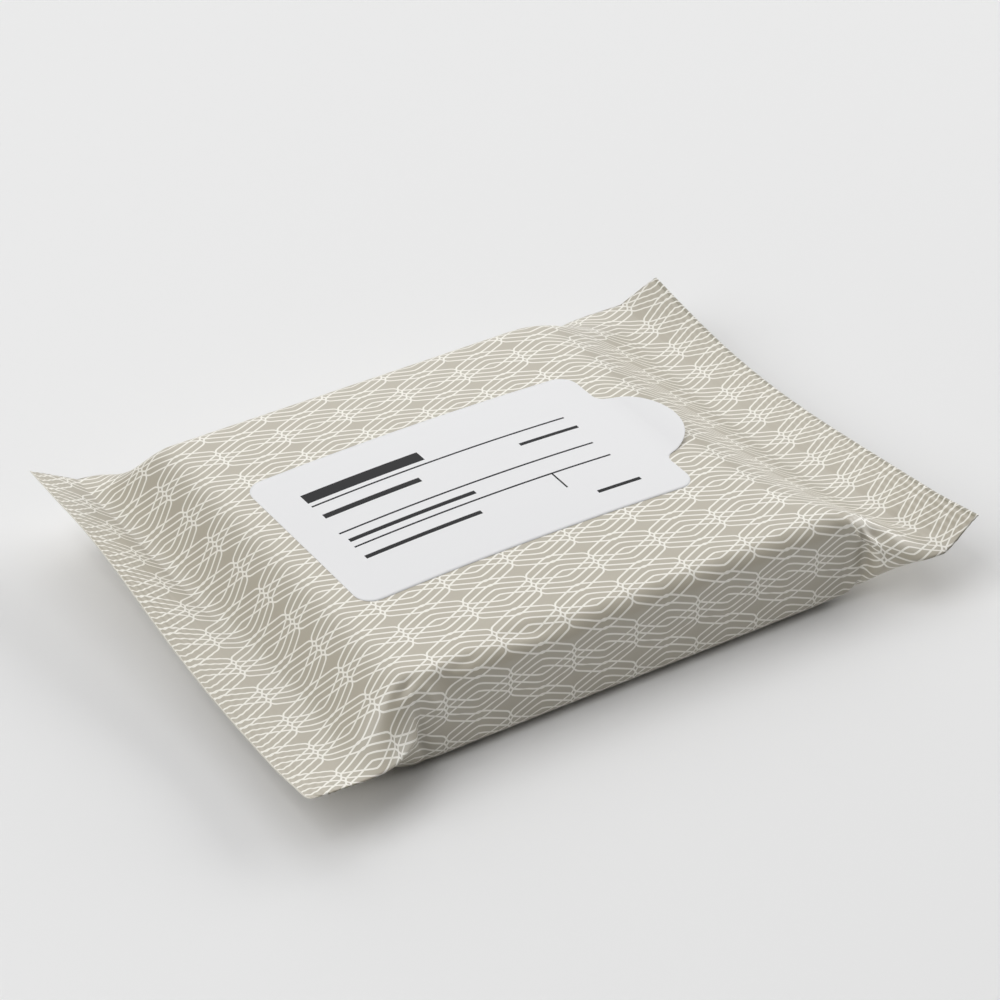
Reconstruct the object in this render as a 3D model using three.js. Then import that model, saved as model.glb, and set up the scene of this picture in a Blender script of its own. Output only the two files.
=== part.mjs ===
// A flow-wrapped soft pack of wet wipes, closed, lying flat on its back.
//
// The pack is one web of plastic film folded into a tube round a stack of folded wipes and pressed flat
// and crimped at both ends. It is sealed, so it is one solid. A stiffer white label with a pull tab is
// glued over the opening cut in the top film, and is the second solid.
//
// Millimetres, +Z up. +X runs along the pack, from the left seal to the end with the tab, and +Y runs to
// its back edge. The origin is on the table, under the middle of the pack.
//
// Points on the film are given as film lengths: "along" from the left cut edge and "across" from the
// middle of the top face. Film bends but doesn't stretch, so a step of film keeps its length: what it
// spends on climbing it loses on the plan.

import * as THREE from 'three';

// Film tube
const FILM_LENGTH = 200; // cut edge to cut edge
const FLAT_WIDTH = 143; // fold to fold, with the tube pressed flat
const SEAL_THICKNESS = 0.6; // two plies with their crimp

// Stack of wipes, as the film shows it from outside
const STACK_HEIGHT = 26;
const EDGE_RADIUS = 5; // film over the stack's long edges
const CROWN = 2; // rise of the top film over the middle of the stack

// The two ends, measured on the film from each one's own cut edge: where the pressed sheet bends up,
// where the film starts to climb (the foot), and where it is on top of the stack (the shoulder). At the
// front and the back corner the foot and the shoulder move by these two lengths. Then heights above the
// table of the pressed sheet at the foot and at the cut edge: tilt and wave lift the back half, and bow
// lifts both corners.
const LEFT_END = {
  bend: 15, foot: 15.4, shoulder: 40, front: [-5, -1], back: [-1, -3],
  footHeight: 13.3, footTilt: 0.5, footBow: 1.3,
  edgeHeight: 15.9, edgeTilt: 4, edgeWave: 2.2, edgeBow: 2.6,
};
const RIGHT_END = {
  bend: 12, foot: 16.4, shoulder: 55, front: [-11, -28], back: [-2, 5],
  footHeight: 10.8, footTilt: -0.8, footBow: 2.2,
  edgeHeight: 12.5, edgeTilt: -1.8, edgeWave: -0.8, edgeBow: 6.9,
};
const EARLY_CLIMB = 0.91; // power that starts the climb a little sooner than a plain smooth step
const CRISP_CORNER = 8; // power that keeps the crisp slope close to the corners

// Label, glued on the top film
const LABEL_START = 44; // film length from the left cut edge
const LABEL_MIDDLE = 1.2; // its middle line, across the film
const LABEL_LENGTH = 96.2; // without its tab
const LABEL_WIDTH = 59;
const LABEL_CORNER = 5;
const LABEL_THICKNESS = 0.4;
const LABEL_GAP = 0.3; // clear of the film under it
const TAB_RADIUS = 14.3; // round tab, drawn about the middle of the label's end
const TAB_FILLET = 3.2; // hollow corner between the label's end and its tab
const TAB_ROOT = LABEL_LENGTH + 0.1; // a hair past the label's end, so that no two rows of it coincide

// Fineness of the two solids
const STEPS_SEAL = 3;
const STEPS_LEFT_SLOPE = 8;
const STEPS_RIGHT_SLOPE = 10;
const STEPS_BODY = 8;
const STEPS_TOP = 9;
const STEPS_ROUND = 4;
const STEPS_WALL = 2;
const BEYOND = STEPS_ROUND + STEPS_WALL; // stations past the flat of the top, on each side
const STEPS_LABEL = 10;
const STEPS_LABEL_CORNER = 4;

const lerp = THREE.MathUtils.lerp;
const HALF_WIDTH = FLAT_WIDTH / 2;
const FLAT_HALF = HALF_WIDTH - (Math.PI / 2 - 1) * EDGE_RADIUS - STACK_HEIGHT / 2; // flat part of the top
const ROUND_END = FLAT_HALF + (Math.PI / 2) * EDGE_RADIUS; // film length at the foot of the rounding

// Evenly spaced values from a to b, without a.
function steps(a, b, count) {
  return Array.from({ length: count }, (_, i) => lerp(a, b, (i + 1) / count));
}

// Height of the film round the stack, on its upper half: flat and crowned, rounded, then straight down
// to the fold line at half height.
function bodyHeight(along, across) {
  const a = Math.abs(across);
  const turn = THREE.MathUtils.clamp((a - FLAT_HALF) / EDGE_RADIUS, 0, Math.PI / 2);
  const wall = Math.max(a - ROUND_END, 0);
  const middle = (LEFT_END.shoulder + FILM_LENGTH - RIGHT_END.shoulder) / 2;
  const alongHalf = middle - LEFT_END.shoulder;
  const lengthwise = Math.max(1 - ((along - middle) / alongHalf) ** 2, 0);
  const crosswise = Math.max(1 - (a / FLAT_HALF) ** 2, 0);
  return STACK_HEIGHT - EDGE_RADIUS * (1 - Math.cos(turn)) - wall + CROWN * lengthwise * crosswise;
}

// The same on its lower half, which lies flat on the table.
function bodyUnderside(across) {
  const a = Math.abs(across);
  const turn = THREE.MathUtils.clamp((a - FLAT_HALF) / EDGE_RADIUS, 0, Math.PI / 2);
  return EDGE_RADIUS * (1 - Math.cos(turn)) + Math.max(a - ROUND_END, 0);
}

// Height of the pressed sheet of one end, at a film distance from its cut edge.
function sheetHeight(end, distance, across) {
  const s = across / HALF_WIDTH;
  const foot = end.footHeight + end.footTilt * s + end.footBow * s * s;
  const edge = end.edgeHeight + end.edgeTilt * s + end.edgeWave * Math.sin(Math.PI * s) + end.edgeBow * s * s;
  return lerp(foot, edge, Math.max(1 - distance / end.bend, 0));
}

// How far the film has climbed from the pressed sheet (0) to the stack (1). The foot and the shoulder
// move by the cube of the way to a corner, and there the slope turns crisp instead of smooth.
function climb(end, distance, across) {
  const s = Math.abs(across / HALF_WIDTH);
  const [footShift, shoulderShift] = across < 0 ? end.front : end.back;
  const foot = end.foot + footShift * s ** 3;
  const shoulder = end.shoulder + shoulderShift * s ** 3;
  const t = THREE.MathUtils.clamp((distance - foot) / (shoulder - foot), 0, 1);
  return lerp(THREE.MathUtils.smoothstep(t ** EARLY_CLIMB, 0, 1), t, s ** CRISP_CORNER);
}

// Heights of the top and bottom film at one film point. In the pressed ends they are SEAL_THICKNESS
// apart, and on the fold lines they meet.
function filmHeights(along, across) {
  const left = along < FILM_LENGTH / 2;
  const end = left ? LEFT_END : RIGHT_END;
  const distance = left ? along : FILM_LENGTH - along;
  const sheet = sheetHeight(end, distance, across);
  const rise = climb(end, distance, across);
  const folded = Math.abs(across) > HALF_WIDTH - 1e-6;
  const apart = folded ? 0 : SEAL_THICKNESS / 2;
  return {
    top: lerp(sheet + apart, bodyHeight(along, across), rise),
    bottom: lerp(sheet - apart, bodyUnderside(across), rise),
  };
}

// Stations along the film, from the left cut edge to the right one.
function alongStations() {
  const { foot: leftFoot, shoulder: leftShoulder } = LEFT_END;
  const rightFoot = FILM_LENGTH - RIGHT_END.foot;
  const rightShoulder = FILM_LENGTH - RIGHT_END.shoulder;
  return [
    0,
    ...steps(0, leftFoot, STEPS_SEAL),
    ...steps(leftFoot, leftShoulder, STEPS_LEFT_SLOPE),
    ...steps(leftShoulder, rightShoulder, STEPS_BODY),
    ...steps(rightShoulder, rightFoot, STEPS_RIGHT_SLOPE),
    ...steps(rightFoot, FILM_LENGTH, STEPS_SEAL),
  ];
}

// Stations across the film, from the front fold line to the back one.
function acrossStations() {
  const half = [
    ...steps(0, FLAT_HALF, STEPS_TOP),
    ...steps(FLAT_HALF, ROUND_END, STEPS_ROUND),
    ...steps(ROUND_END, HALF_WIDTH, STEPS_WALL),
  ];
  return [...half.map((a) => -a).reverse(), 0, ...half];
}

// Lays the film out over its stations: rows run across. Y is stepped out from the middle of each row,
// and X from the middle row, so that every step keeps its film length.
function layFilm() {
  const along = alongStations();
  const across = acrossStations();
  const middleRow = Math.floor(along.length / 2);
  const middle = Math.floor(across.length / 2);
  const film = along.map((u) => across.map((v) => ({ u, v, x: 0, y: 0, ...filmHeights(u, v) })));

  for (const row of film) {
    for (const side of [1, -1]) {
      for (let j = middle + side; row[j]; j += side) {
        const run = row[j].v - row[j - side].v;
        const rise = row[j].top - row[j - side].top;
        row[j].y = row[j - side].y + side * Math.sqrt(Math.max(run * run - rise * rise, 0));
      }
    }
  }
  for (const side of [1, -1]) {
    for (let i = middleRow + side; film[i]; i += side) {
      for (let j = BEYOND; j < across.length - BEYOND; j++) {
        const point = film[i][j];
        const from = film[i - side][j];
        const run = point.u - from.u;
        const rise = point.top - from.top;
        const drift = point.y - from.y;
        point.x = from.x + side * Math.sqrt(Math.max(run * run - rise * rise - drift * drift, 0));
      }
    }
  }
  return centred(film.map(squareEnds));
}

// The cut edges are straight, so the film beyond the stack's long edges keeps level with the film beside
// it: its spare length is taken up in the creases at the stack's corners.
function squareEnds(row) {
  const within = (j) => THREE.MathUtils.clamp(j, BEYOND, row.length - 1 - BEYOND);
  return row.map((point, j) => ({ ...point, x: row[within(j)].x }));
}

// Moves the film so that its box is centred on the origin in X and Y.
function centred(film) {
  const box = new THREE.Box2();
  film.flat().forEach((p) => box.expandByPoint(new THREE.Vector2(p.x, p.y)));
  const middle = box.getCenter(new THREE.Vector2());
  return film.map((row) => row.map((p) => ({ ...p, x: p.x - middle.x, y: p.y - middle.y })));
}

// A closed geometry from a grid of upper points and a grid of lower ones, with walls round their edge.
// Where an upper and a lower edge point are the same, they are one vertex.
function closedSheet(upper, lower) {
  const rows = upper.length;
  const columns = upper[0].length;
  const positions = [];
  const triangles = [];
  const index = new Map();
  const vertex = (p) => {
    const key = p.toArray().map((c) => c.toFixed(5)).join();
    if (!index.has(key)) {
      index.set(key, index.size);
      positions.push(...p.toArray());
    }
    return index.get(key);
  };
  const triangle = (a, b, c) => {
    const [i, j, k] = [vertex(a), vertex(b), vertex(c)];
    if (i !== j && j !== k && k !== i) triangles.push(i, j, k);
  };
  const quad = (a, b, c, d) => {
    triangle(a, b, c);
    triangle(a, c, d);
  };
  for (let i = 0; i + 1 < rows; i++) {
    for (let j = 0; j + 1 < columns; j++) {
      quad(upper[i][j], upper[i + 1][j], upper[i + 1][j + 1], upper[i][j + 1]);
      quad(lower[i][j], lower[i][j + 1], lower[i + 1][j + 1], lower[i + 1][j]);
    }
    const last = columns - 1;
    quad(lower[i][0], lower[i + 1][0], upper[i + 1][0], upper[i][0]);
    quad(upper[i][last], upper[i + 1][last], lower[i + 1][last], lower[i][last]);
  }
  for (let j = 0; j + 1 < columns; j++) {
    const last = rows - 1;
    quad(upper[0][j], upper[0][j + 1], lower[0][j + 1], lower[0][j]);
    quad(lower[last][j], lower[last][j + 1], upper[last][j + 1], upper[last][j]);
  }
  const geometry = new THREE.BufferGeometry();
  geometry.setAttribute('position', new THREE.Float32BufferAttribute(positions, 3));
  geometry.setIndex(triangles);
  geometry.computeVertexNormals();
  return geometry;
}

// The pouch between the top and the bottom film.
function filmPouch(film) {
  const top = film.map((row) => row.map((p) => new THREE.Vector3(p.x, p.y, p.top)));
  const bottom = film.map((row) => row.map((p) => new THREE.Vector3(p.x, p.y, p.bottom)));
  return closedSheet(top, bottom);
}

// The label's outline as pairs of length from its left end and half width: rounded corners at both ends
// of the body, the straight end, a hollow fillet that touches the end and the tab, then the round tab.
function labelOutline() {
  const half = LABEL_WIDTH / 2;
  const cornerMiddle = half - LABEL_CORNER;
  const touch = Math.asin(TAB_FILLET / (TAB_RADIUS + TAB_FILLET));
  const filletMiddle = (TAB_RADIUS + TAB_FILLET) * Math.cos(touch);
  const quarter = steps(0, Math.PI / 2, STEPS_LABEL_CORNER);
  const hollow = steps(0, Math.PI / 2 - touch, STEPS_LABEL_CORNER);
  const round = steps(touch, Math.PI / 2, 2 * STEPS_LABEL_CORNER);
  const arc = (x, w, radius, from) =>
    quarter.map((a) => [x + radius * Math.cos(from - a), w + radius * Math.sin(from - a)]);
  return [
    [0, cornerMiddle],
    ...arc(LABEL_CORNER, cornerMiddle, LABEL_CORNER, Math.PI),
    ...steps(LABEL_CORNER, LABEL_LENGTH - LABEL_CORNER, STEPS_LABEL).map((x) => [x, half]),
    ...arc(LABEL_LENGTH - LABEL_CORNER, cornerMiddle, LABEL_CORNER, Math.PI / 2),
    ...hollow.map((a) => [
      TAB_ROOT + TAB_FILLET * (1 - Math.cos(a)),
      filletMiddle - TAB_FILLET * Math.sin(a),
    ]),
    ...round.map((a) => [TAB_ROOT + TAB_RADIUS * Math.sin(a), TAB_RADIUS * Math.cos(a)]),
  ];
}

// The point of the top film at a film position, between its stations.
function onFilm(film, along, across) {
  const i = Math.max(film.findIndex((row) => row[0].u > along), 1);
  const j = Math.max(film[0].findIndex((p) => p.v > across), 1);
  const t = (along - film[i - 1][0].u) / (film[i][0].u - film[i - 1][0].u);
  const s = (across - film[0][j - 1].v) / (film[0][j].v - film[0][j - 1].v);
  const mix = (key) =>
    lerp(
      lerp(film[i - 1][j - 1][key], film[i][j - 1][key], t),
      lerp(film[i - 1][j][key], film[i][j][key], t),
      s,
    );
  return new THREE.Vector3(mix('x'), mix('y'), mix('top'));
}

// The label, bent to the top film under it.
function label(film) {
  const across = [-1, ...steps(-1, 1, STEPS_LABEL)];
  const lift = (p, height) => new THREE.Vector3(p.x, p.y, p.z + height);
  const grid = labelOutline().map(([length, half]) =>
    across.map((t) => onFilm(film, LABEL_START + length, LABEL_MIDDLE + t * half)),
  );
  const lower = grid.map((row) => row.map((p) => lift(p, LABEL_GAP)));
  const upper = grid.map((row) => row.map((p) => lift(p, LABEL_GAP + LABEL_THICKNESS)));
  return closedSheet(upper, lower);
}

function piece(name, geometry, color, roughness) {
  const mesh = new THREE.Mesh(geometry, new THREE.MeshStandardMaterial({ color, roughness, metalness: 0 }));
  mesh.name = name;
  return mesh;
}

const film = layFilm();
const pack = new THREE.Group();
pack.add(piece('film_pouch', filmPouch(film), 0xbeb9ac, 0.5));
pack.add(piece('resealable_label', label(film), 0xececec, 0.4));

export default pack;
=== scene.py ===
import math

import bpy
import numpy as np
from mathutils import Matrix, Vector


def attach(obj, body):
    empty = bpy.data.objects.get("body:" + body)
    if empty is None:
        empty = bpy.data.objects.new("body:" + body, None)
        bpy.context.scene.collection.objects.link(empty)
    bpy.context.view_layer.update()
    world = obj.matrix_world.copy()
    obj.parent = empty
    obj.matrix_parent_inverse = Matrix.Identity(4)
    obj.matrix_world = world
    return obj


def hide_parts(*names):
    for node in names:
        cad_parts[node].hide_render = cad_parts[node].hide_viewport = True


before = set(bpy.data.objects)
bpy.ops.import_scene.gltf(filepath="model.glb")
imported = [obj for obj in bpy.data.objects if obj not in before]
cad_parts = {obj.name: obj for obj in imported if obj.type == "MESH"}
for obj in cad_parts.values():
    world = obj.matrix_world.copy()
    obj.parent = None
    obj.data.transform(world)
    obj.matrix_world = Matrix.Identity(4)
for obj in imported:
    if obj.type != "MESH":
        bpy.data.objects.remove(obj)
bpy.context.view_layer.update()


# ---------------------------------------------------------------------------------------------------
# Film pouch. One web of printed film, folded into a tube round the stack of wipes, closed by a fin
# seal along its underside and pressed flat and crimped at both ends. Millimetres, in film lengths:
# "along" runs from the left cut edge, "across" from the middle of the top face towards the back.
# ---------------------------------------------------------------------------------------------------

MM = 0.001
FILM_LENGTH = 200
HALF_WIDTH = 71.5  # middle of the top face to the fold line, with the tube flat
STACK_HEIGHT = 26
EDGE_RADIUS = 5  # film over the stack's long edges
CROWN = 2  # rise of the top film over the middle of the stack
PLY_GAP = 0.25  # the two plies of a pressed end, outside to outside
FLAT_HALF = HALF_WIDTH - (math.pi / 2 - 1) * EDGE_RADIUS - STACK_HEIGHT / 2
ROUND_END = FLAT_HALF + math.pi / 2 * EDGE_RADIUS

# Each end, from its own cut edge: where the pressed sheet bends up, then the foot and the shoulder of
# the slope, with how far both move at the front and the back corner. Heights of the pressed sheet are at
# the foot and at the cut edge, where tilt and wave lift the back half and bow lifts both corners.
LEFT_END = dict(bend=15, foot=15.4, shoulder=40, front=(-5, -1), back=(-1, -3),
                foot_height=13.3, foot_tilt=0.5, foot_bow=1.3,
                edge_height=15.9, edge_tilt=4, edge_wave=2.2, edge_bow=2.6)
RIGHT_END = dict(bend=12, foot=16.4, shoulder=55, front=(-11, -28), back=(-2, 5),
                 foot_height=10.8, foot_tilt=-0.8, foot_bow=2.2,
                 edge_height=12.5, edge_tilt=-1.8, edge_wave=-0.8, edge_bow=6.9)

EARLY_CLIMB = 0.91  # power that starts the climb a little sooner than a plain smooth step
CRISP_CORNER = 8  # power that keeps the crisp slope close to the corners

CRIMP_LENGTH = 12  # crimped band beside each cut edge
CRIMP_PITCH = 2
CRIMP_DEPTH = 0.26
CUT_LIP = 0.3  # the right cut edge turns down by this,
LIP_WIDTH = 0.8  # over this
CUT_CORNER = 2.2  # radius of the left cut edge's front corner
FIN_WIDTH = 10  # fin seal, folded flat against the underside, with the web's unprinted margin outside
FIN_EDGE = 0.5  # width of the step at each side of the fin, which is FIN_RELIEF high
FIN_RELIEF = 0.25

SHADED_EDGE_BAND = 1.1  # painted shade: the film ground is painted darker over this band beside the right cut edge, standing in for shade where the edge turns down, and the left one is bare of print

# Where the stack doesn't fill the film out: place (along, around from the middle of the top face), reach
# (along, around), turn of the long side in degrees, and depth inwards. First four soft hollows under the
# top front edge, then the left tuck down the front wall and the ridge beside it, then the right tuck,
# the peak where it begins and the hollow beside that.
HOLLOWS = [
    ((37, -58.5), (3.8, 1.8), 25, 1.2),
    ((47.5, -62), (5, 2.6), -20, 1.2),
    ((52.5, -58.5), (5.5, 2), 10, 0.9),
    ((73, -57), (8, 2.6), -8, 1.2),
    ((39.5, -74), (1.5, 9), 12, 0.9),
    ((43, -66), (1.4, 5), 25, -0.6),
    ((166.5, -71), (1.7, 9), 0, 2.6),
    ((163.5, -60.5), (2.4, 2.2), 0, -1),
    ((171, -62.5), (4, 4), 0, 2),
]


def smooth(t):
    """Rises from 0 to 1 with no slope at either end: 3t^2 - 2t^3, held outside them."""
    t = np.clip(t, 0, 1)
    return t * t * (3 - 2 * t)


def mix(a, b, t):
    """a where t is 0, b where it is 1, and straight between them: a + (b - a) t."""
    return a + (b - a) * t


def stations(*stretches):
    """Values from the first stretch's start to the last one's end. Each stretch is (start, end, step)
    and is cut into even steps of about that size."""
    cuts = [np.linspace(a, b, max(1, round((b - a) / step)), endpoint=False) for a, b, step in stretches]
    return np.append(np.concatenate(cuts), stretches[-1][1])


def round_stack(along, across):
    """Heights of the top and bottom film round the stack: flat, then a quarter round of EDGE_RADIUS,
    then straight up or down to the fold line. The top is crowned as a parabola both ways."""
    a = np.abs(across)
    turn = np.clip((a - FLAT_HALF) / EDGE_RADIUS, 0, math.pi / 2)
    drop = EDGE_RADIUS * (1 - np.cos(turn)) + np.clip(a - ROUND_END, 0, None)
    start, end = LEFT_END["shoulder"], FILM_LENGTH - RIGHT_END["shoulder"]
    from_middle = (along - (start + end) / 2) / ((end - start) / 2)
    crown = CROWN * np.clip(1 - from_middle**2, 0, 1) * np.clip(1 - (a / FLAT_HALF) ** 2, 0, 1)
    return STACK_HEIGHT - drop + crown, drop


def pressed_sheet(end, distance, across):
    """Height of an end's pressed sheet: level to the bend, then straight to the cut edge's height."""
    s = across / HALF_WIDTH
    foot = end["foot_height"] + end["foot_tilt"] * s + end["foot_bow"] * s**2
    edge = end["edge_height"] + end["edge_tilt"] * s + end["edge_wave"] * np.sin(math.pi * s)
    return mix(foot, edge + end["edge_bow"] * s**2, np.clip(1 - distance / end["bend"], 0, 1))


def climb(end, distance, across):
    """How far the film has climbed from the pressed sheet (0) to the stack (1). The foot and shoulder
    move by the cube of the way to a corner, and there the slope turns crisp instead of smooth."""
    s = np.abs(across / HALF_WIDTH)
    foot = end["foot"] + np.where(across < 0, end["front"][0], end["back"][0]) * s**3
    shoulder = end["shoulder"] + np.where(across < 0, end["front"][1], end["back"][1]) * s**3
    t = np.clip((distance - foot) / (shoulder - foot), 0, 1)
    return mix(smooth(t**EARLY_CLIMB), t, s**CRISP_CORNER)


def film_heights(along, across):
    """Heights of the top and bottom film: the pressed sheet, its plies PLY_GAP apart, mixed with the
    film round the stack by the climb. The underside stands FIN_RELIEF off the table beside its fin."""
    left, right = along, FILM_LENGTH - along
    on_left = along < FILM_LENGTH / 2
    sheets = [pressed_sheet(LEFT_END, left, across), pressed_sheet(RIGHT_END, right, across)]
    sheet = np.where(on_left, *sheets)
    rise = np.where(on_left, climb(LEFT_END, left, across), climb(RIGHT_END, right, across))
    top, bottom = round_stack(along, across)
    on_fin = smooth(across / FIN_EDGE) * smooth((FIN_WIDTH - across) / FIN_EDGE)
    bottom = bottom + FIN_RELIEF * (1 - on_fin)
    fold = np.abs(across) > HALF_WIDTH - 1e-6
    apart = np.where(fold, 0, PLY_GAP / 2)
    bottom = np.where(fold, top, bottom)
    return mix(sheet + apart, top, rise), mix(sheet - apart, bottom, rise)


def step_out(lengths, *spent):
    """Plan positions from the middle of axis 0: each step keeps its film length, so its plan length is
    the root of the length squared less the squares of what it spends on rising and drifting."""
    lost = sum(np.diff(w, axis=0) ** 2 for w in spent)
    plan = np.sqrt(np.clip(np.diff(lengths, axis=0) ** 2 - lost, 0, None))
    total = np.concatenate([np.zeros_like(plan[:1]), np.cumsum(plan, axis=0)])
    return total - total[len(total) // 2]


def lay_film(along, across):
    """Points of the top and bottom film at each (along, across), as two arrays of x, y, z.
    Beyond the stack's long edges x is that of the film beside them, because the cut edges are straight.
    The left end's front corner is a quarter circle, and the film beside it is drawn in along its length."""
    u, v = np.meshgrid(along, across, indexing="ij")
    top, bottom = film_heights(u, v)
    y = step_out(v.T, top.T).T
    y = y - y[:, [np.argmin(np.abs(across))]]
    x = step_out(u, top, y)
    inside = np.flatnonzero(np.abs(across) <= FLAT_HALF)
    x = x[:, np.clip(np.arange(len(across)), inside[0], inside[-1])]
    x = x - (x.min() + x.max()) / 2
    past = np.clip(CUT_CORNER - HALF_WIDTH - v, 0, CUT_CORNER)
    x = x + (CUT_CORNER - np.sqrt(CUT_CORNER**2 - past**2)) * np.clip(1 - u / CRIMP_LENGTH, 0, 1)
    pressed = crimp_ribs(u)
    return np.stack([x, y, top + pressed], -1), np.stack([x, y, bottom + pressed], -1)


def crimp_ribs(along):
    """Ribs beside both cut edges, parallel to them: a sine wave that starts over the first millimetre and
    fades away over the band. The right cut edge turns down over LIP_WIDTH."""
    distance = np.minimum(along, FILM_LENGTH - along)
    fade = np.clip(distance, 0, 1) * np.clip(1 - distance / CRIMP_LENGTH, 0, 1)
    lip = CUT_LIP * np.clip(1 - (FILM_LENGTH - along) / LIP_WIDTH, 0, 1)
    return CRIMP_DEPTH / 2 * np.sin(2 * math.pi * distance / CRIMP_PITCH) * fade - lip


def hollows(along, around):
    """Inward shift of the film: a bell shape in each hollow's own two turned directions."""
    shift = np.zeros_like(along)
    for (u, v), (long, short), turn, depth in HOLLOWS:
        cos, sin = math.cos(math.radians(turn)), math.sin(math.radians(turn))
        lengthwise = (along - u) * cos + (around - v) * sin
        crosswise = (around - v) * cos - (along - u) * sin
        shift += depth * np.exp(-((lengthwise / long) ** 2) - (crosswise / short) ** 2)
    return shift


def sheet_normals(grid):
    """Unit normals of a grid of points: the cross product of its two directions."""
    normals = np.cross(np.gradient(grid, axis=0), np.gradient(grid, axis=1))
    return normals / np.linalg.norm(normals, axis=-1, keepdims=True)


def link_mesh(name, points, faces, layer, corners):
    """An object with a smooth mesh of points in millimetres, and a UV map of its face corners."""
    mesh = bpy.data.meshes.new(name)
    mesh.from_pydata((points.reshape(-1, 3) * MM).tolist(), [], faces)
    uv = mesh.uv_layers.new(name=layer)
    uv.uv.foreach_set("vector", (corners * MM).astype(np.float32).ravel())
    mesh.polygons.foreach_set("use_smooth", np.ones(len(mesh.polygons), bool))
    piece = bpy.data.objects.new(name, mesh)
    bpy.context.scene.collection.objects.link(piece)
    return piece


def quads_of(grid):
    """The four corners of every cell of a grid of vertex numbers or UVs."""
    cells = [grid[:-1, :-1], grid[1:, :-1], grid[1:, 1:], grid[:-1, 1:]]
    return np.stack(cells, 2).reshape(-1, 4, *grid.shape[2:])


# The rows and columns of the mesh: close together over the crimps, the slopes, the long walls and the
# steps of the fin.
along = stations((0, 15, 0.33), (15, 50, 0.7), (50, 145, 1.9), (145, 186, 0.7), (186, FILM_LENGTH, 0.33))
across = stations((-HALF_WIDTH, -50, 0.7), (-50, 0, 1.6), (0, 0.6, 0.2), (0.6, 9.4, 1.1), (9.4, 10, 0.2),
                  (10, 50, 1.6), (50, HALF_WIDTH, 0.8))
film_top, film_bottom = lay_film(along, across)

# The tube goes once round: from the underside's middle to the front fold, over the top and back again.
# around is the film's place from the middle of the top face, so the print runs on over both folds.
columns = len(across)
middle = int(np.argmin(np.abs(across)))
order = np.concatenate([np.arange(middle, 0, -1), np.arange(columns), np.arange(columns - 2, middle - 1, -1)])
on_top = np.arange(len(order)) - middle
on_top = (on_top >= 0) & (on_top < columns)
tube = np.where(on_top[:, None], film_top[:, order], film_bottom[:, order])
fold_side = np.where(np.arange(len(order)) < middle, -1, 1)
around = np.where(on_top, across[order], 2 * fold_side * HALF_WIDTH - across[order])
u, w = np.meshgrid(along, around, indexing="ij")
tube = tube - sheet_normals(tube) * hollows(u, w)[..., None]
film_top = tube[:, middle:middle + columns]

number = np.arange(tube[:, :-1, 0].size).reshape(len(along), -1)
number = np.concatenate([number, number[:, :1]], axis=1)
faces = quads_of(number)
corners = quads_of(np.stack([u, w], -1))
# Both cut edges are closed between their plies, from fold to fold.
j = np.arange(columns)
upper = number[:, middle + j]
lower = number[:, np.where(j <= middle, middle - j, middle + 2 * columns - 2 - j)]
cuts = []
for row, turn in ((0, -1), (-1, 1)):
    strip = np.stack([lower[row, 1:-2], lower[row, 2:-1], upper[row, 2:-1], upper[row, 1:-2]], -1)[:, ::turn]
    tips = [[upper[row, 0], lower[row, 1], upper[row, 1]], [lower[row, -2], upper[row, -1], upper[row, -2]]]
    cuts += strip.tolist() + [[int(n) for n in tip[::turn]] for tip in tips]
    at = np.concatenate([np.repeat(across[1:-2], 4), np.repeat(across[[0, -1]], 3)])
    corners = np.concatenate([corners.reshape(-1, 2), np.stack([np.full(len(at), along[row]), at], -1)])
pouch = link_mesh("film_pouch_printed", tube[:, :-1], faces.tolist() + cuts, "film", corners)


def linear(hex_colour):
    """sRGB hex to linear red, green, blue and an alpha of 1."""
    value = np.array([int(hex_colour[i:i + 2], 16) / 255 for i in (1, 3, 5)])
    light = np.where(value <= 0.04045, value / 12.92, ((value + 0.055) / 1.055) ** 2.4)
    return (*light.tolist(), 1.0)


def node(tree, kind, inputs=None, **settings):
    """Adds a node. inputs are {socket: value, socket or node}, and a node stands for its first output."""
    made = tree.nodes.new(kind)
    for name, value in settings.items():
        setattr(made, name, value)
    for socket, value in (inputs or {}).items():
        if isinstance(value, bpy.types.Node):
            value = value.outputs[0]
        if isinstance(value, bpy.types.NodeSocket):
            tree.links.new(value, made.inputs[socket])
        else:
            made.inputs[socket].default_value = value
    return made


def new_material(name):
    """An empty node material with a Principled shader wired to its output."""
    made = bpy.data.materials.new(name)
    made.use_nodes = True
    tree = made.node_tree
    tree.nodes.clear()
    shader = node(tree, "ShaderNodeBsdfPrincipled")
    node(tree, "ShaderNodeOutputMaterial", {"Surface": shader})
    return made, tree, shader


# Print: a net of wavy lines in rows. In each row four lines and their mirror images swing from knot to
# knot along the pack. Lengths in millimetres of film.
KNOT_PITCH = 17.8  # along
ROW_PITCH = 12.6  # across
FIRST_KNOT = 10.7  # first knot from the left cut edge
FIRST_ROW = -5.3  # a row of knots near the middle of the top face
LINE_SPACING = 0.17  # between the lines of one row, in row pitches
LINE_HALF_WIDTH = 0.24
KNOT_STEP = 0.062  # in row pitches: half the step of a line through its knot
KNOT_REACH = 0.03  # in knot pitches: how far from the knot the step takes
EVEN_SLOPE = 0.625  # row pitches for each knot pitch, between knots
ROUND_CAP = 0.475  # in knot pitches from the knot: where the slope is rounded off towards mid-cell,
ROUND_REACH = 0.2  # and how far from there the round begins
SOFT_EDGE = 0.2  # the ink of a line fades over this part of its half width, both ways

FILM_GROUND = "#B6AF9F"
FILM_LINES = "#F2EFE6"
# painted shade: the darker ground of the band beside the right cut edge, where the edge turns down
SHADED_EDGE_GROUND = "#999482"
BARE_FILM = "#DEDACE"
BARE_EDGE = 0.3  # width of the bare left cut edge
WAVE_PITCH = 25 / 3  # of the slight waves in the film: three of them in 25 mm


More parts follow.
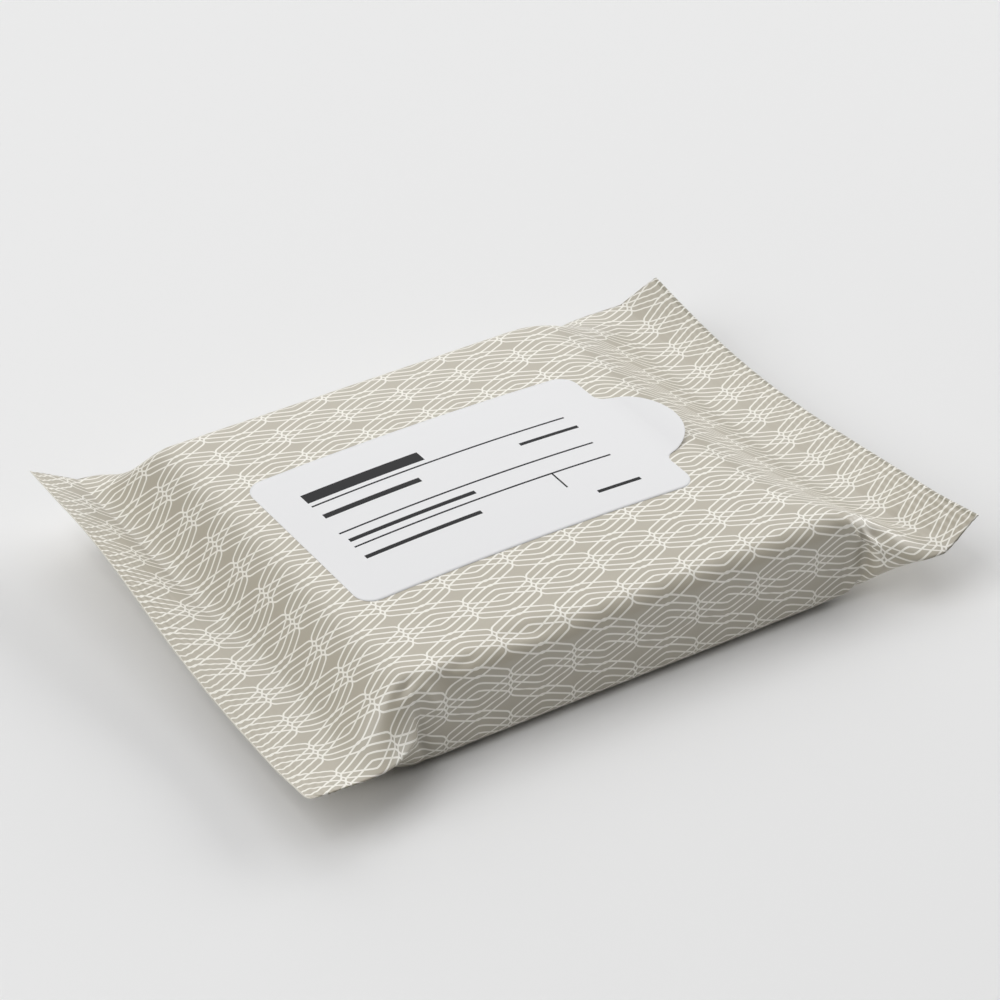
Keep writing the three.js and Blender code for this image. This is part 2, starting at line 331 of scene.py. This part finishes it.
def printed_film():
    """Polyethylene film under a clear polyester ply, reverse printed in greige with an off-white net. The
    clear ply is a coat that gives broad satin highlights, and a slight waviness in the film shows where
    the light grazes it."""
    made, tree, shader = new_material("printed_pe_film_satin")
    math_node = "ShaderNodeMath"
    film = node(tree, "ShaderNodeUVMap", uv_map="film")
    place = node(tree, "ShaderNodeSeparateXYZ", {0: film})
    lengthwise = node(tree, math_node, {0: place.outputs["X"], 1: FIRST_KNOT * MM}, operation="SUBTRACT")
    knots = node(tree, math_node, {0: lengthwise, 1: KNOT_PITCH * MM}, operation="DIVIDE")
    crosswise = node(tree, math_node, {0: place.outputs["Y"], 1: FIRST_ROW * MM}, operation="SUBTRACT")
    rows = node(tree, math_node, {0: crosswise, 1: ROW_PITCH * MM}, operation="DIVIDE")
    from_row = node(tree, math_node, {0: rows}, operation="FRACT")
    to_next_row = node(tree, math_node, {0: 1.0, 1: from_row}, operation="SUBTRACT")

    # Swing of a line: steep through the knot, an even slope towards mid-cell, and a round there.
    from_knot = node(tree, math_node, {0: knots, 1: 0.5}, operation="PINGPONG")
    eased = node(tree, math_node, {0: from_knot, 1: ROUND_CAP, 2: ROUND_REACH},
                 operation="SMOOTH_MIN")
    steep = node(tree, math_node, {0: from_knot, 1: KNOT_REACH}, operation="DIVIDE")
    through_knot = node(tree, math_node, {0: steep}, operation="TANH")
    even = node(tree, math_node, {0: eased, 1: EVEN_SLOPE}, operation="MULTIPLY")
    swing = node(tree, math_node, {0: through_knot, 1: KNOT_STEP, 2: even}, operation="MULTIPLY_ADD")

    # Distance from the nearest of a row's four lines, which lie 0.5 and 1.5 spacings either side of it,
    # for this row and the next one and for both mirror images.
    nearest = None
    for offset in (from_row, to_next_row):
        for mirror in ("ADD", "SUBTRACT"):
            from_line = node(tree, math_node, {0: offset, 1: swing}, operation=mirror)
            size = node(tree, math_node, {0: from_line}, operation="ABSOLUTE")
            spacings = node(tree, math_node, {0: size, 1: 1 / LINE_SPACING, 2: -1.0},
                            operation="MULTIPLY_ADD")
            from_pair = node(tree, math_node, {0: spacings}, operation="ABSOLUTE")
            beside = node(tree, math_node, {0: from_pair, 1: 0.5}, operation="SUBTRACT")
            distance = node(tree, math_node, {0: beside}, operation="ABSOLUTE")
            if nearest:
                distance = node(tree, math_node, {0: nearest, 1: distance}, operation="MINIMUM")
            nearest = distance

    # The line's own width stays even where it is steep: slope of the swing, then its secant.
    turning = node(tree, math_node, {0: through_knot, 1: through_knot}, operation="MULTIPLY")
    through = KNOT_STEP / KNOT_REACH
    steepness = node(tree, math_node, {0: turning, 1: -through, 2: EVEN_SLOPE + through},
                     operation="MULTIPLY_ADD")
    slope = node(tree, math_node, {0: steepness, 1: ROW_PITCH / KNOT_PITCH}, operation="MULTIPLY")
    squared = node(tree, math_node, {0: slope, 1: slope, 2: 1.0}, operation="MULTIPLY_ADD")
    secant = node(tree, math_node, {0: squared}, operation="SQRT")
    square_on = node(tree, math_node, {0: nearest, 1: secant}, operation="DIVIDE")
    reach = LINE_HALF_WIDTH / (LINE_SPACING * ROW_PITCH)
    edge = {0: square_on, 1: reach * (1 - SOFT_EDGE), 2: reach * (1 + SOFT_EDGE), 3: 1.0, 4: 0.0}
    ink = node(tree, "ShaderNodeMapRange", edge)
    # Painted shade: beside the right cut edge the ground is darkened in place of shade on the turned-down
    # edge, and the print lines stay light over it.
    in_edge_shade = node(tree, math_node, {0: place.outputs["X"], 1: (FILM_LENGTH - SHADED_EDGE_BAND) * MM},
                 operation="GREATER_THAN")
    ground = node(tree, "ShaderNodeMix", {0: in_edge_shade, 6: linear(FILM_GROUND), 7: linear(SHADED_EDGE_GROUND)},
                  data_type="RGBA")
    colour = node(tree, "ShaderNodeMix", {0: ink.outputs[0], 6: ground.outputs[2], 7: linear(FILM_LINES)},
                  data_type="RGBA")
    cut = node(tree, math_node, {0: place.outputs["X"], 1: BARE_EDGE * MM}, operation="LESS_THAN")
    fin = node(tree, math_node, {0: place.outputs["Y"], 1: (2 * HALF_WIDTH - FIN_WIDTH) * MM},
               operation="GREATER_THAN")
    bare = node(tree, math_node, {0: cut, 1: fin}, operation="MAXIMUM")
    colour = node(tree, "ShaderNodeMix", {0: bare, 6: colour.outputs[2], 7: linear(BARE_FILM)},
                  data_type="RGBA")
    tree.links.new(colour.outputs[2], shader.inputs["Base Color"])
    shader.inputs["Roughness"].default_value = 0.42
    shader.inputs["IOR"].default_value = 1.5
    shader.inputs["Specular IOR Level"].default_value = 0.5
    shader.inputs["Coat Weight"].default_value = 0.5
    shader.inputs["Coat Roughness"].default_value = 0.35
    shader.inputs["Coat IOR"].default_value = 1.6
    wave = node(tree, "ShaderNodeTexNoise", {"Scale": 1 / (WAVE_PITCH * MM), "Detail": 2.0})
    tree.links.new(node(tree, "ShaderNodeTexCoord").outputs["Object"], wave.inputs["Vector"])
    bump = node(tree, "ShaderNodeBump", {"Strength": 0.12, "Distance": MM, "Height": wave.outputs[0]})
    tree.links.new(bump.outputs[0], shader.inputs["Normal"])
    return made


pouch.data.materials.append(printed_film())
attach(pouch, "root")
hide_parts("film_pouch")


# ---------------------------------------------------------------------------------------------------
# Resealable label. Stiff white polypropylene, die cut with a round pull tab and glued over the opening
# in the top film. The tab isn't glued, so its end stands off the film a little.
# ---------------------------------------------------------------------------------------------------

LABEL_START = 44  # film length from the left cut edge
LABEL_MIDDLE = 1.2  # its middle line, across the film
LABEL_LENGTH = 96.2  # without its tab
LABEL_HALF = 29.5
LABEL_CORNER = 5
LABEL_THICKNESS = 0.06
LABEL_GLUE = 0.02  # between the label and the film
TAB_HALF = 15  # half width and reach of the tab, which is half an ellipse
TAB_REACH = 12.6
TAB_FILLET = 3.2
TAB_LIFT = 2.2  # of the tab's nose off the film
HAIR = 1e-3  # keeps the outline's rows apart, and its last row from closing to a point


def label_outline(steps):
    """Length from the left end, and half width there: rounded corners, the straight end, a hollow
    fillet between the end and the tab, then the tab. Corners and fillets are circular arcs, and the tab
    is half an ellipse."""
    turn = np.linspace(0, math.pi / 2, steps)
    corner = LABEL_CORNER * np.sin(turn)
    inset = LABEL_CORNER * (1 - np.cos(turn))
    body = np.linspace(LABEL_CORNER, LABEL_LENGTH - LABEL_CORNER, 60)[1:-1]
    middle = LABEL_HALF - LABEL_CORNER
    # The fillet's centre is TAB_FILLET past the end and TAB_HALF + TAB_FILLET from the end's middle.
    touch = math.asin(TAB_FILLET / (TAB_HALF + TAB_FILLET))
    fillet_middle = (TAB_HALF + TAB_FILLET) * math.cos(touch)
    hollow = np.linspace(0, math.pi / 2 - touch, steps)
    tab = np.linspace(touch, math.pi / 2, 3 * steps)[1:]
    length = np.concatenate([
        inset, body, LABEL_LENGTH - inset[::-1],
        LABEL_LENGTH + HAIR + TAB_FILLET * (1 - np.cos(hollow)),
        LABEL_LENGTH + TAB_REACH * np.sin(tab),
    ])
    half = np.concatenate([
        middle + corner, np.full(len(body), LABEL_HALF), middle + corner[::-1],
        fillet_middle - TAB_FILLET * np.sin(hollow),
        TAB_HALF * np.cos(tab) + HAIR,
    ])
    return length, half


def on_film(grid, u, v):
    """Values of a film grid between its stations, straight both ways."""
    i = np.clip(np.searchsorted(along, u) - 1, 0, len(along) - 2)
    j = np.clip(np.searchsorted(across, v) - 1, 0, len(across) - 2)
    t = ((u - along[i]) / (along[i + 1] - along[i]))[..., None]
    s = ((v - across[j]) / (across[j + 1] - across[j]))[..., None]
    return mix(mix(grid[i, j], grid[i + 1, j], t), mix(grid[i, j + 1], grid[i + 1, j + 1], t), s)


length, half = label_outline(12)
side = np.linspace(-1, 1, 61)
label_u = LABEL_START + np.broadcast_to(length[:, None], (len(length), len(side)))
label_v = LABEL_MIDDLE + half[:, None] * side
under = on_film(film_top, label_u, label_v)
up = on_film(sheet_normals(film_top), label_u, label_v)
on_tab = np.clip((label_u - LABEL_START - LABEL_LENGTH) / TAB_REACH, 0, 1)[..., None]
lift = LABEL_GLUE + TAB_LIFT * on_tab**2
label_bottom = under + up * lift
label_top = under + up * (lift + LABEL_THICKNESS)

# The label's face, its back turned over, and the rim between them.
number = np.arange(2 * label_u.size).reshape(2, *label_u.shape)
upper, lower = number
rim = [upper[0], upper[:, -1], upper[-1, ::-1], upper[::-1, 0]]
rim_faces = [np.stack([a[:-1], a[1:], a[1:] + label_u.size, a[:-1] + label_u.size], -1) for a in rim]
faces = np.concatenate([quads_of(upper), quads_of(lower)[:, ::-1]] + rim_faces)
label_print = np.stack([label_u - LABEL_START, label_v - LABEL_MIDDLE], -1).reshape(-1, 2)
label = link_mesh("resealable_label_printed", np.stack([label_top, label_bottom]), faces.tolist(), "label",
                  label_print[faces.ravel() % label_u.size])


# Print on the label: rules of a plain form, and plain bars in place of its words. Each is the middle of
# a bar, along and across the label, then its length and its height, in millimetres.
RULES = [(46.8, 12.2, 74, 0.6), (46.6, -1.4, 74, 0.6), (47.1, -8.2, 74.4, 0.6), (66.7, -11.8, 0.5, 7)]
BARS = [(26.6, 15.9, 33.6, 4), (24, 6.9, 27.6, 1.9), (28.2, -5.2, 36, 1.4), (26.5, -13.2, 33, 1.4),
        (75.8, 6.9, 17.5, 1.2), (78.5, -20.7, 12.7, 1.2)]
LABEL_WHITE = "#EAEAEB"
LABEL_INK = "#18181B"


def white_label():
    """Cast polypropylene label face with a satin varnish: clean white, smoother than the film."""
    made, tree, shader = new_material("white_pp_label_satin")
    label_uv = node(tree, "ShaderNodeUVMap", uv_map="label")
    inked = None
    for x, y, wide, high in RULES + BARS:
        middle_of_bar = (x * MM, y * MM, 0)
        half_of_bar = (wide / 2 * MM, high / 2 * MM, 1)
        offset = node(tree, "ShaderNodeVectorMath", {0: label_uv, 1: middle_of_bar}, operation="SUBTRACT")
        size = node(tree, "ShaderNodeVectorMath", {0: offset}, operation="ABSOLUTE")
        past = node(tree, "ShaderNodeVectorMath", {0: size, 1: half_of_bar}, operation="SUBTRACT")
        edges = node(tree, "ShaderNodeSeparateXYZ", {0: past})
        outside = node(tree, "ShaderNodeMath", {0: edges.outputs[0], 1: edges.outputs[1]},
                       operation="MAXIMUM")
        bar = node(tree, "ShaderNodeMath", {0: outside, 1: 0.0}, operation="LESS_THAN")
        if inked:
            bar = node(tree, "ShaderNodeMath", {0: inked, 1: bar}, operation="MAXIMUM")
        inked = bar
    colour = node(tree, "ShaderNodeMix", {0: inked, 6: linear(LABEL_WHITE), 7: linear(LABEL_INK)},
                  data_type="RGBA")
    tree.links.new(colour.outputs[2], shader.inputs["Base Color"])
    shader.inputs["Roughness"].default_value = 0.5
    shader.inputs["IOR"].default_value = 1.49
    shader.inputs["Specular IOR Level"].default_value = 0.25
    return made


label.data.materials.append(white_label())
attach(label, "root")
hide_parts("resealable_label")


# ---------------------------------------------------------------------------------------------------
# Stage. A matt white paper table, four softboxes and the camera. There is no light on the viewer's
# side, so the pack's front wall falls dark, and the back softbox lies where its film mirrors it.
# ---------------------------------------------------------------------------------------------------

FLOOR_HALF = 6  # metres
floor_corners = [(x * FLOOR_HALF, y * FLOOR_HALF, 0) for x, y in ((-1, -1), (1, -1), (1, 1), (-1, 1))]
floor_mesh = bpy.data.meshes.new("studio_floor")
floor_mesh.from_pydata(floor_corners, [], [(0, 1, 2, 3)])
floor = bpy.data.objects.new("studio_floor", floor_mesh)
bpy.context.scene.collection.objects.link(floor)
floor_paint, floor_tree, floor_shader = new_material("matt_white_paper")
floor_shader.inputs["Base Color"].default_value = linear("#EBEBEB")
floor_shader.inputs["Roughness"].default_value = 0.9
floor_shader.inputs["Specular IOR Level"].default_value = 0.1
floor.data.materials.append(floor_paint)


def aim_vector(place, aim):
    """The way from a place to what is aimed at."""
    return Vector(aim) - Vector(place)


def soft_light(name, place, size, power):
    """A square area light of that size, aimed at the pack."""
    data = bpy.data.lights.new(name, "AREA")
    data.shape = "SQUARE"
    data.size = size
    data.energy = power
    lamp = bpy.data.objects.new(name, data)
    bpy.context.scene.collection.objects.link(lamp)
    lamp.location = place
    lamp.rotation_euler = aim_vector(place, (0, 0, 0)).to_track_quat("-Z", "Y").to_euler()


# Three softboxes 2 m from the pack, and a wider one 3 m behind it: sizes in metres, then watts.
SOFTBOX = 1.9
WIDE_SOFTBOX = 2.8
soft_light("overhead_softbox", (0, 0.4, 2.0), SOFTBOX, 11)
soft_light("left_softbox", (-1.41, 0.1, 1.41), SOFTBOX, 28)
soft_light("back_softbox", (0.95, 2.35, 1.55), WIDE_SOFTBOX, 33)
soft_light("right_softbox", (1.89, 0, 0.66), SOFTBOX, 33)

# The air round the studio gives no light of its own.
world = bpy.data.worlds.new("studio_air")
bpy.context.scene.world = world
world.use_nodes = True
world.node_tree.nodes["Background"].inputs["Strength"].default_value = 0.0

# The camera looks at a point near the middle of the pack. Places and distance are in metres.
AIM = (0.0076, 0.0120, 0.010)
AZIMUTH = math.radians(-32.65)
ELEVATION = math.radians(34.34)
DISTANCE = 0.914
FOCAL_WIDTHS = 3.6  # focal length in picture widths

camera_data = bpy.data.cameras.new("camera")
camera_data.sensor_width = 36
camera_data.lens = FOCAL_WIDTHS * camera_data.sensor_width
camera_data.clip_end = 30
camera = bpy.data.objects.new("camera", camera_data)
bpy.context.scene.collection.objects.link(camera)
level = math.cos(ELEVATION)
away = (math.sin(AZIMUTH) * level, -math.cos(AZIMUTH) * level, math.sin(ELEVATION))
camera.location = [p + DISTANCE * d for p, d in zip(AIM, away)]
camera.rotation_euler = aim_vector(camera.location, AIM).to_track_quat("-Z", "Y").to_euler()
bpy.context.scene.camera = camera
bpy.context.scene.view_settings.view_transform = "Standard"
